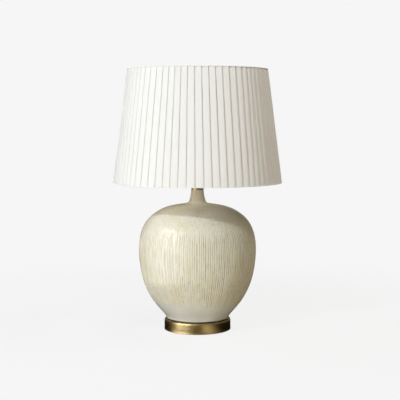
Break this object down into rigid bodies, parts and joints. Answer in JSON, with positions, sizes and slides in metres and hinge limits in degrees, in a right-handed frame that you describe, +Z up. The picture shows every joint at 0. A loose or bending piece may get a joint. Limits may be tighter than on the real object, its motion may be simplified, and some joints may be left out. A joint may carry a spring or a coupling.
{
  "type": "table lamp",
  "caption": "Table lamp with a glazed ceramic vase on a round brass foot, a lampholder with push-bar switch and bulb, and a knife-pleated tapered shade clamped by a screw ring.",
  "frame": {"origin": "centre of the footprint at the table, which is the lamp's axis", "axes": "+Z up along the lamp's axis, front towards -Y, the flex leaves towards +Y"},
  "size_m": [0.3999, 0.3998, 0.616],
  "materials": {
    "felt": "pressed felt",
    "fibreboard": "bare hardboard",
    "antique_brass": "brushed, aged",
    "black_rubber": "matte",
    "zinc_steel": "bright zinc",
    "glazed_ceramic": "glossy ivory glaze, combed",
    "phenolic": "moulded, satin",
    "black_plastic": "moulded, gloss",
    "bulb_metal": "rolled",
    "black_glass": "cast, gloss",
    "opal_glass": "opal, smooth",
    "white_enamel": "white coating",
    "lining_cloth": "laminated lining, matt",
    "shade_cloth": "woven, matt"
  },
  "bodies": {
    "base": {"felt_pad": "felt", "base_board": "fibreboard", "brass_foot": "antique_brass", "flex_bush": "black_rubber", "foot_washer": "zinc_steel", "foot_nut": "zinc_steel", "foot_gasket": "black_rubber", "ceramic_body": "glazed_ceramic", "threaded_rod": "zinc_steel", "neck_seal": "black_rubber", "neck_cap": "antique_brass", "neck_nut": "antique_brass", "stem_tube": "antique_brass", "holder_cup": "antique_brass", "grub_screw": "zinc_steel", "switch_block": "phenolic", "socket_core": "phenolic", "screw_shell": "antique_brass", "shell_screws": "zinc_steel", "centre_contact": "antique_brass", "contact_screw": "zinc_steel", "holder_barrel": "antique_brass"},
    "switch": {"switch_bar": "black_plastic"},
    "clamp": {"clamp_ring": "antique_brass"},
    "bulb": {"bulb_contact": "bulb_metal", "bulb_insulator": "black_glass", "bulb_cap": "bulb_metal", "bulb_glass": "opal_glass"},
    "shade": {"fitter_ring": "white_enamel", "bottom_ring": "white_enamel", "top_ring": "white_enamel", "lining": "lining_cloth", "pleated_cover": "shade_cloth", "bottom_binding": "shade_cloth", "top_binding": "shade_cloth", "strut_1": "white_enamel", "strut_2": "white_enamel", "strut_3": "white_enamel", "strut_4": "white_enamel", "strut_5": "white_enamel", "strut_6": "white_enamel", "spider_arm_1": "white_enamel", "spider_arm_2": "white_enamel", "spider_arm_3": "white_enamel"}
  },
  "joints": [
    {"name": "push_switch", "type": "slide", "parent": "base", "child": "switch", "axis": [-1, 0, 0], "range_m": [0, 0.005]},
    {"name": "shade_turn", "type": "hinge", "parent": "base", "child": "shade", "pos_m": [0, 0, 0.3955], "axis": [0, 0, 1], "continuous": true},
    {"name": "clamp_ring_turn", "type": "hinge", "parent": "base", "child": "clamp", "pos_m": [0, 0, 0.3967], "axis": [0, 0, 1], "continuous": true},
    {"name": "bulb_turn", "type": "hinge", "parent": "base", "child": "bulb", "pos_m": [0, 0, 0.403], "axis": [0, 0, 1], "continuous": true}
  ]
}
